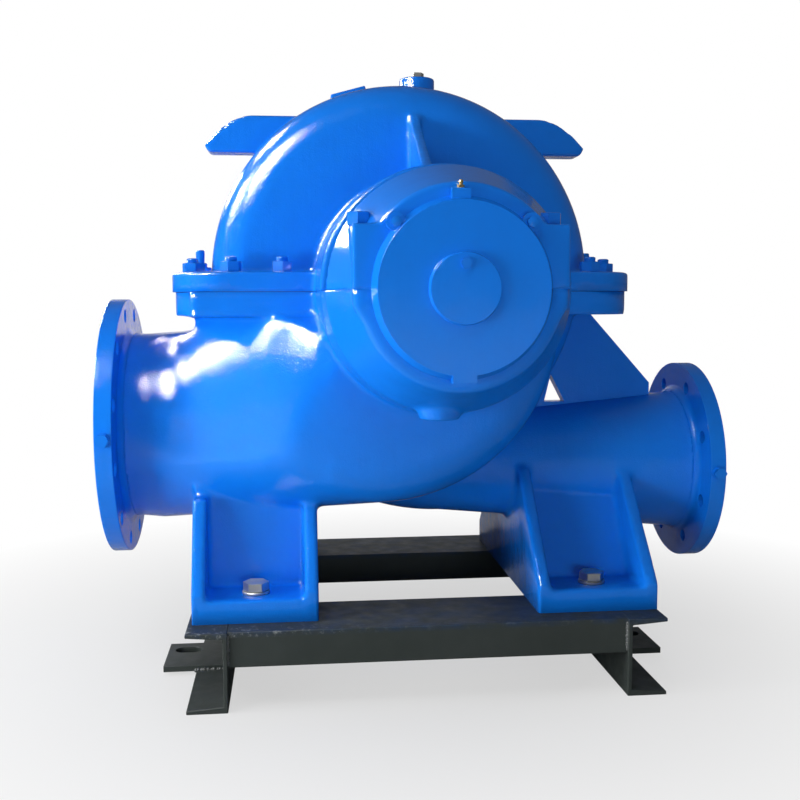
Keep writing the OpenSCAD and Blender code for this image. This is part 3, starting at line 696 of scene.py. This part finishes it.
def rounded_copy(name, node, material, edge, segments=3, cut=None):
    """A CAD node's own shape with its edges broken by a small round, cut at a plane where one is given."""
    solids = cad_copy(node)
    bmesh.ops.dissolve_limit(
        solids, angle_limit=math.radians(1.0), verts=solids.verts, edges=solids.edges, delimit={"NORMAL"})
    if cut:
        cut_off(solids, *cut)
    made = finish_piece(name, solids, material, smooth_angle=CAST_SHARP)
    rounding = made.modifiers.new("edge_round", "BEVEL")
    rounding.width = edge * MM
    rounding.segments = segments
    rounding.limit_method = "ANGLE"
    rounding.angle_limit = math.radians(CAST_SHARP)
    flat = made.modifiers.new("flat_faces", "WEIGHTED_NORMAL")
    flat.keep_sharp = True
    return made


def pipe_flanges():
    """The two drilled flanges, crisp where the castings are soft."""
    rounded_copy(
        "suction_pipe_flange", "suction_nozzle", BLUE_ENAMEL, 2.5,
        cut=(Vector((SUCTION_FACE + SUCTION_FLANGE_END, 0, 0)), RIGHT))
    rounded_copy(
        "discharge_pipe_flange", "discharge_nozzle", BLUE_ENAMEL, 2.5,
        cut=(Vector((DISCHARGE_FACE - DISCHARGE_FLANGE_END, 0, 0)), LEFT))


# Boss for the vent plug and pad for a plate, both on the dome
BOSS_TOP, BOSS_R, BOSS_HEIGHT = 379.0, 31.0, 60.0
PAD_X, PAD_Z, PAD_R, PAD_TILT = -37.0, 26.0, 336.0, 15.3
PAD_SIZE = (62.0, 90.0, 30.0)
PAD_EDGE = 2.2


def web_and_bosses():
    """The web over the discharge, and the boss and plate pad on the dome, with tight corners."""
    made = rounded_copy("discharge_web_cast", "discharge_web", BLUE_ENAMEL, 3.0)
    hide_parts("discharge_web")

    raised = bmesh.new()
    foot = BOSS_TOP - BOSS_HEIGHT
    lathe(raised, [
        (0, foot), (BOSS_R, foot), (BOSS_R, BOSS_TOP - 3), (BOSS_R - 1, BOSS_TOP - 1),
        (BOSS_R - 3, BOSS_TOP), (0, BOSS_TOP)], standing(at(0, 0, 0)), steps=56)
    width, length, height = PAD_SIZE
    place = standing(at(PAD_X, 0, PAD_Z), Matrix.Rotation(math.radians(-PAD_TILT), 4, "Y"))
    place = place @ Matrix.Translation(Vector((0, 0, PAD_R - height / 2)) * MM)
    place = place @ Matrix.Diagonal((width * MM, length * MM, height * MM, 1))
    block = bmesh.ops.create_cube(raised, size=1.0, matrix=place)
    rims = list({edge for vert in block["verts"] for edge in vert.link_edges})
    bmesh.ops.bevel(
        raised, geom=rims, offset=PAD_EDGE * MM, offset_type="OFFSET", segments=3, profile=0.5,
        affect="EDGES", material=-1)
    finish_piece("boss_and_plate_pad", raised, BLUE_ENAMEL, smooth_angle=CAST_SHARP)


def covers_and_glands():
    for node in ("front_bearing_cover", "rear_bearing_cover", "front_gland", "rear_gland"):
        made = rounded_copy(node + "_cast", node, BLUE_SMOOTH, 2.4)
        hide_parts(node)


# Base frame

def base_frame():
    for node in ("front_beam", "rear_beam", "left_cross_channel", "right_cross_channel", "left_anchor_tab",
                 "right_anchor_tab"):
        made = rounded_copy(node + "_rolled", node, FRAME_PAINT, 1.4, segments=2)
        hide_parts(node)


TAB_BEAD_R, TAB_BEAD_RISE = 4.0, 1.5 * MM
BEAM_BEAD_R, BEAM_BEAD_FOOT, BEAM_BEAD_HEAD = 3.0, 6 * MM, 8 * MM


def weld_run(target, start, end, radius):
    """A run of overlapping weld drops between two points."""
    length = (end - start).length
    count = max(2, int(length / (radius * MM * 0.8)))
    for step in range(count + 1):
        drop = bmesh.ops.create_icosphere(target, subdivisions=2, radius=radius * MM)
        swell = 1.0 + 0.18 * math.sin(2.3 * step) + 0.10 * math.sin(5.1 * step)
        place = Matrix.Translation(start.lerp(end, step / count)) @ Matrix.Scale(swell, 4)
        bmesh.ops.transform(target, matrix=place, verts=drop["verts"])


def weld_beads():
    """Welds of the base frame: along the anchor tabs and where the beams meet the cross channels."""
    beads = bmesh.new()
    for side in ("left", "right"):
        tab_low, tab_high = (Vector(corner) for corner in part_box(side + "_anchor_tab"))
        channel_low, channel_high = (Vector(corner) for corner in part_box(side + "_cross_channel"))
        on_left = side == "left"
        inner_x = tab_high.x if on_left else tab_low.x
        rim_x = channel_low.x if on_left else channel_high.x
        bead_z = tab_low.z + TAB_BEAD_RISE
        for y in (tab_low.y, tab_high.y):
            weld_run(beads, Vector((rim_x, y, bead_z)), Vector((inner_x, y, bead_z)), TAB_BEAD_R)
        for beam in ("front_beam", "rear_beam"):
            beam_low, beam_high = (Vector(corner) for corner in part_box(beam))
            joint_x = beam_low.x if on_left else beam_high.x
            foot, head = beam_low.z + BEAM_BEAD_FOOT, beam_high.z - BEAM_BEAD_HEAD
            for y in (beam_low.y, beam_high.y):
                weld_run(beads, Vector((joint_x, y, foot)), Vector((joint_x, y, head)), BEAM_BEAD_R)
    finish_piece("weld_beads", beads, WELD)


# Fasteners: their places are in millimetres from the pump's centre

FLANGE_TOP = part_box("upper_casing")[0][2] + 32 * MM
NUT_SPOTS = ((-392, 95), (-324, 172), (-242, 176), (270, 174), (318, 92))
PIN_SPOTS = ((-382, -58), (318, 20))
PIN_OUTLINE = ((0, -4), (7.5, -4), (7.0, 20), (7.6, 34), (7.2, 39), (5.5, 40.5), (0, 40.5))
CAP_BOLT_Y, CAP_BOLT_Z = 454, 86
COVER_BOLT_R, COVER_BOLT_Y = 126, 517
FOOT_BOLT_X, FOOT_BOLT_Y = (-290, 265), 225
FOOT_TOP_Z, UNDER_BEAM_Z = -483, -528
GLAND_STUD_X, GLAND_STUD_Y = 90, 363


def split_flange_nuts():
    """Nuts on studs along the split flange, the same at front and back, with two jacking pins."""
    nuts = bmesh.new()
    lift = (FLANGE_TOP - SPLIT) / MM
    for x, y in NUT_SPOTS:
        for side in (-1, 1):
            spin = 17.0 * ((x + side * y) % 7)
            place = standing(at(x, side * y, lift), spin=spin)
            nut_on_stud(nuts, place, thread=20, flats=30, height=17, proud=8)
    for x, y in PIN_SPOTS:
        lathe(nuts, PIN_OUTLINE, standing(at(x, y, lift)), steps=24)
    finish_piece("split_flange_nuts", nuts, BLUE_ON_BOLTS, smooth_angle=BOLT_SHARP)


def cap_bolts():
    """Bolts on the lugs of the two bearing caps."""
    bolts = bmesh.new()
    for end in (-1, 1):
        for x, spin in ((-136, 24), (130, 13)):
            place = standing(at(-end * x, end * CAP_BOLT_Y, CAP_BOLT_Z), spin=spin)
            bolt_head(bolts, place, flats=30, height=19)
    finish_piece("bearing_cap_bolts", bolts, BLUE_ON_BOLTS, smooth_angle=BOLT_SHARP)


def cover_bolts():
    """Small bolts on the ears of the two bearing covers."""
    bolts = bmesh.new()
    for end, turn in ((-1, TO_FRONT), (1, TO_BACK)):
        for angle in (44, 136):
            x = COVER_BOLT_R * math.cos(math.radians(angle))
            z = COVER_BOLT_R * math.sin(math.radians(angle))
            bolt_head(bolts, standing(at(x, end * COVER_BOLT_Y, z), turn, angle), flats=13, height=6)
    finish_piece("bearing_cover_bolts", bolts, BLUE_ON_BOLTS, smooth_angle=BOLT_SHARP)


def foot_bolts():
    """Holding-down bolts of the feet, zinc plated, with nuts under the beams."""
    bolts = bmesh.new()
    for x in FOOT_BOLT_X:
        for side in (-1, 1):
            place = standing(at(x, side * FOOT_BOLT_Y, FOOT_TOP_Z), spin=8 + 11 * side)
            bolt_head(bolts, place, flats=36, height=15, washer=(22, 4))
            place = standing(at(x, side * FOOT_BOLT_Y, UNDER_BEAM_Z), TO_FLOOR, 20)
            nut_on_stud(bolts, place, thread=24, flats=36, height=19, proud=8)
    finish_piece("foot_bolts", bolts, ZINC, smooth_angle=BOLT_SHARP)


def gland_studs():
    """Two studs with nuts through the ears of each gland."""
    studs = bmesh.new()
    for end, turn in ((-1, TO_FRONT), (1, TO_BACK)):
        for side in (-1, 1):
            place = standing(at(side * GLAND_STUD_X, end * GLAND_STUD_Y, 0), turn, 15)
            nut_on_stud(studs, place, thread=14, flats=22, height=11, proud=14)
    finish_piece("gland_studs", studs, ZINC, smooth_angle=BOLT_SHARP)


# Nodes that show as the CAD made them

KEPT_NODES = (
    (BLUE_ON_BOLTS, ("front_cover_plug", "suction_gauge_plug", "discharge_gauge_plug")),
    (BRIGHT_STEEL, ("front_shaft_sleeve", "rear_shaft_sleeve", "pump_shaft")),
    (ZINC, ("vent_plug",)),
    (GASKET_SHEET, ("casing_gasket",)),
    (BRASS, ("front_grease_nipple", "rear_grease_nipple")),
)


def kept_nodes():
    for material, names in KEPT_NODES:
        for name in names:
            data = nodes[name].data
            data.materials.clear()
            data.materials.append(material)


# Stage

FLOOR_HALF = 14.0
FLOOR_GREY = (0.36, 0.36, 0.36, 1)
SURROUND_COLOUR, SURROUND_STRENGTH = (0.90, 0.95, 1.0, 1), 0.13
BEHIND_FROM, BEHIND_FULL = 0.92, 0.99

# Lamps: name, place, aim, size and watts. A glow only lights, and a shine only shows in the gloss
LAMPS = (
    ("window_glow", (-3.0, -0.6, 1.3), (0, 0, 0.5), (0.7, 1.3), 60),
    ("skylight_glow", (-0.75, -1.7, 3.1), (-0.1, 0, 0.5), (1.0, 1.0), 21),
    ("skylight_shine", (-1.98, -1.42, 2.62), (-0.4, -0.2, 0.5), (0.9, 0.8), 330),
    ("left_sky_shine", (-2.4, -0.17, 2.0), (-0.3, -0.2, 0.5), (0.42, 0.40), 85),
    ("back_glow", (0.4, 3.0, 1.8), (0, 0, 0.5), (1.6, 1.6), 30),
    ("back_shine", (-1.6, 0.95, 2.55), (-0.4, -0.1, 0.55), (0.4, 0.25), 38),
    ("far_back_shine", (-1.5, 1.7, 1.8), (-0.1, -0.4, 0.7), (0.4, 0.6), 45),
    ("low_glow", (-1.7, -1.1, 0.45), (0, -0.1, 0.4), (0.9, 0.5), 22),
    ("low_front_glow", (0.3, -2.7, 0.35), (0.1, -0.1, 0.25), (1.0, 0.4), 13),
)

CAMERA_PLACE = (-0.2173, -1.9364, 0.6241)
CAMERA_TURN = (1.4797, 0.0031, -0.1054)
CAMERA_LENS, CAMERA_SENSOR = 46.589, 36.0


def pale_floor():
    """A floor that takes the shadow near the pump and shows the camera plain white farther out."""
    grid = bmesh.new()
    bmesh.ops.create_grid(grid, x_segments=2, y_segments=2, size=FLOOR_HALF)
    mesh = mesh_of(grid, "floor")
    floor = bpy.data.objects.new("floor", mesh)
    bpy.context.collection.objects.link(floor)
    made, tree, shader = new_material("pale_floor")
    shader.inputs["Base Color"].default_value = FLOOR_GREY
    shader.inputs["Roughness"].default_value = 0.9
    light_path = tree.nodes.new("ShaderNodeLightPath")
    white = tree.nodes.new("ShaderNodeEmission")
    white.inputs["Strength"].default_value = 1.0
    distance = tree.nodes.new("ShaderNodeVectorMath")
    distance.operation = "LENGTH"
    tree.links.new(object_coordinates(tree), distance.inputs[0])
    far = ramp(tree, distance.outputs["Value"], 0.40, 1.25, 0.60, 1.0)
    seen = math_node(tree, "MULTIPLY", far, light_path.outputs["Is Camera Ray"])
    blend_surface(tree, seen, shader.outputs["BSDF"], white.outputs["Emission"], "Material Output")
    mesh.materials.append(made)


def surround():
    """A dim surround that is white to the camera, and white in reflections straight behind the pump."""
    world = bpy.data.worlds.new("surround")
    bpy.context.scene.world = world
    world.use_nodes = True
    tree = world.node_tree
    soft = tree.nodes["Background"]
    soft.inputs["Color"].default_value = SURROUND_COLOUR
    soft.inputs["Strength"].default_value = SURROUND_STRENGTH
    white = tree.nodes.new("ShaderNodeBackground")
    white.inputs["Color"].default_value = (1, 1, 1, 1)
    white.inputs["Strength"].default_value = 1.0
    rays = tree.nodes.new("ShaderNodeLightPath").outputs
    behind = ramp(tree, axes_of(tree, object_coordinates(tree))["Y"], BEHIND_FROM, BEHIND_FULL)
    mirrored = math_node(tree, "MULTIPLY", behind, rays["Is Glossy Ray"])
    direct = math_node(tree, "MAXIMUM", rays["Is Camera Ray"], rays["Is Transmission Ray"])
    seen = math_node(tree, "MAXIMUM", mirrored, direct)
    blend_surface(tree, seen, soft.outputs["Background"], white.outputs["Background"], "World Output")


def lamps():
    """Soft boxes, none of them seen by the camera."""
    for name, place, aim, size, power in LAMPS:
        lamp = bpy.data.lights.new(name, "AREA")
        lamp.shape = "RECTANGLE"
        lamp.size, lamp.size_y = size
        lamp.energy = power
        made = bpy.data.objects.new(name, lamp)
        made.location = place
        made.rotation_euler = (Vector(aim) - Vector(place)).to_track_quat("-Z", "Y").to_euler()
        made.visible_camera = False
        made.visible_diffuse = name.endswith("_glow")
        made.visible_glossy = name.endswith("_shine")
        bpy.context.collection.objects.link(made)


def camera():
    lens = bpy.data.cameras.new("camera")
    made = bpy.data.objects.new("camera", lens)
    made.location = CAMERA_PLACE
    made.rotation_euler = CAMERA_TURN
    lens.lens = CAMERA_LENS
    lens.sensor_width = CAMERA_SENSOR
    lens.clip_start = 0.05
    bpy.context.collection.objects.link(made)
    bpy.context.scene.camera = made


lower_casting()
upper_castings()
pipe_flanges()
web_and_bosses()
covers_and_glands()
base_frame()
weld_beads()
split_flange_nuts()
cap_bolts()
cover_bolts()
foot_bolts()
gland_studs()
kept_nodes()
pale_floor()
surround()
lamps()
camera()
bpy.context.scene.view_settings.view_transform = "Standard"
